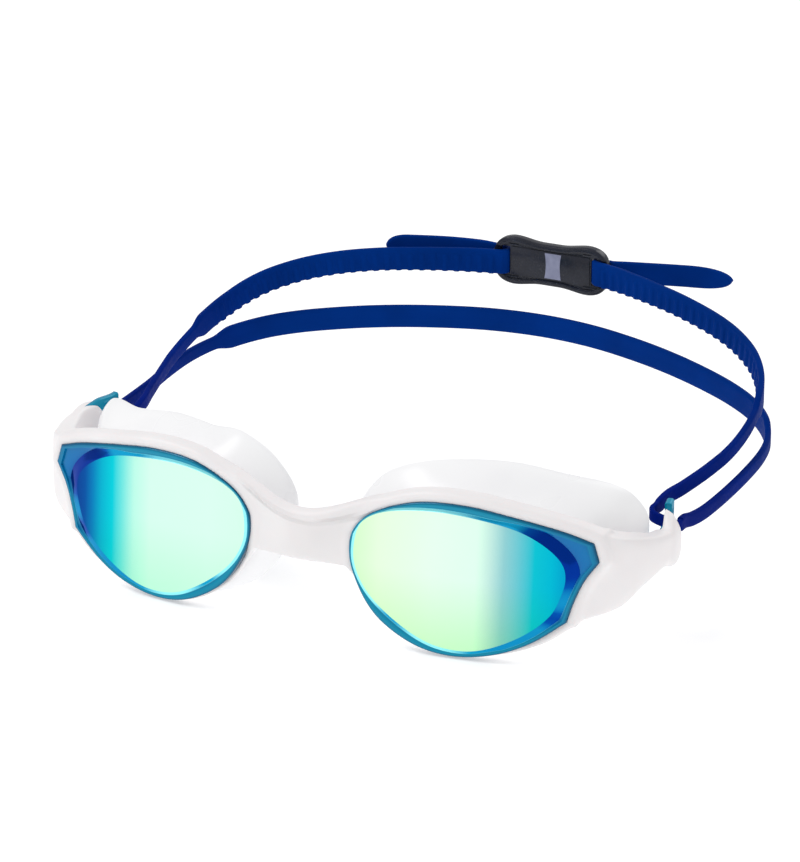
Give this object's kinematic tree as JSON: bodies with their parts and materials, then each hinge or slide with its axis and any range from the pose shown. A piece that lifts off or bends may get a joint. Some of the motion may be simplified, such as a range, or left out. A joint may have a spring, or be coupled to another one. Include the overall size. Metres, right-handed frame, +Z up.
{
  "type": "swim goggles",
  "caption": "Wide-view swim goggles: soft white front frame with arms, mirrored lenses in tinted carriers, soft seals, and a split silicone strap with a slotted buckle.",
  "frame": {"origin": "middle of the object's footprint, on the surface that it stands on", "axes": "+X towards one lens across the face, +Y from the lenses back to the buckle, +Z up; the lenses face -Y and the nose bridge is at x 0"},
  "size_m": [0.166, 0.154, 0.0513],
  "materials": {
    "white_soft": "soft satin white elastomer",
    "seal_silicone": "smooth milky silicone",
    "teal_tint": "clear polycarbonate tinted teal",
    "mirror_face": "mirror coating that runs from pale green at the nose to blue at the temple",
    "strap_silicone": "satin navy silicone",
    "smoke_plastic": "smoke-grey translucent plastic"
  },
  "bodies": {
    "front": {"frame": "white_soft", "lens_carrier_right": "teal_tint", "lens_carrier_left": "teal_tint", "lens_right": "mirror_face", "lens_left": "mirror_face", "seal_right": "seal_silicone", "seal_left": "seal_silicone"},
    "ear_loops": {"strap_ear_loop_right": "strap_silicone", "strap_ear_loop_left": "strap_silicone"},
    "upper_band": {"strap_upper_right": "strap_silicone", "strap_upper_left": "strap_silicone", "buckle": "smoke_plastic"},
    "lower_band": {"strap_lower": "strap_silicone"},
    "tail_right": {"strap_tail_right": "strap_silicone"},
    "tail_left": {"strap_tail_left": "strap_silicone"}
  },
  "joints": [
    {"name": "strap_swing", "type": "hinge", "parent": "front", "child": "ear_loops", "pos_m": [0, -0.03136, 0.02585], "axis": [1, 0, 0], "range_deg": [-25, 30], "stiffness_Nm_per_rad": 0.35, "springref_deg": 1.15},
    {"name": "upper_band_spread", "type": "hinge", "parent": "ear_loops", "child": "upper_band", "pos_m": [0, -0.02916, 0.02725], "axis": [1, 0, 0], "range_deg": [-4, 40], "stiffness_Nm_per_rad": 0.3, "springref_deg": 0.86},
    {"name": "lower_band_spread", "type": "hinge", "parent": "ear_loops", "child": "lower_band", "pos_m": [0, -0.02916, 0.02455], "axis": [1, 0, 0], "range_deg": [-40, 4], "stiffness_Nm_per_rad": 0.3, "springref_deg": 0.46},
    {"name": "tail_right_flap", "type": "hinge", "parent": "upper_band", "child": "tail_right", "pos_m": [0.017, 0.07414, 0.04465], "axis": [0, 0, 1], "range_deg": [-8, 60], "stiffness_Nm_per_rad": 0.02},
    {"name": "tail_left_flap", "type": "hinge", "parent": "upper_band", "child": "tail_left", "pos_m": [-0.017, 0.07414, 0.04465], "axis": [0, 0, -1], "range_deg": [-3, 60], "stiffness_Nm_per_rad": 0.02}
  ]
}
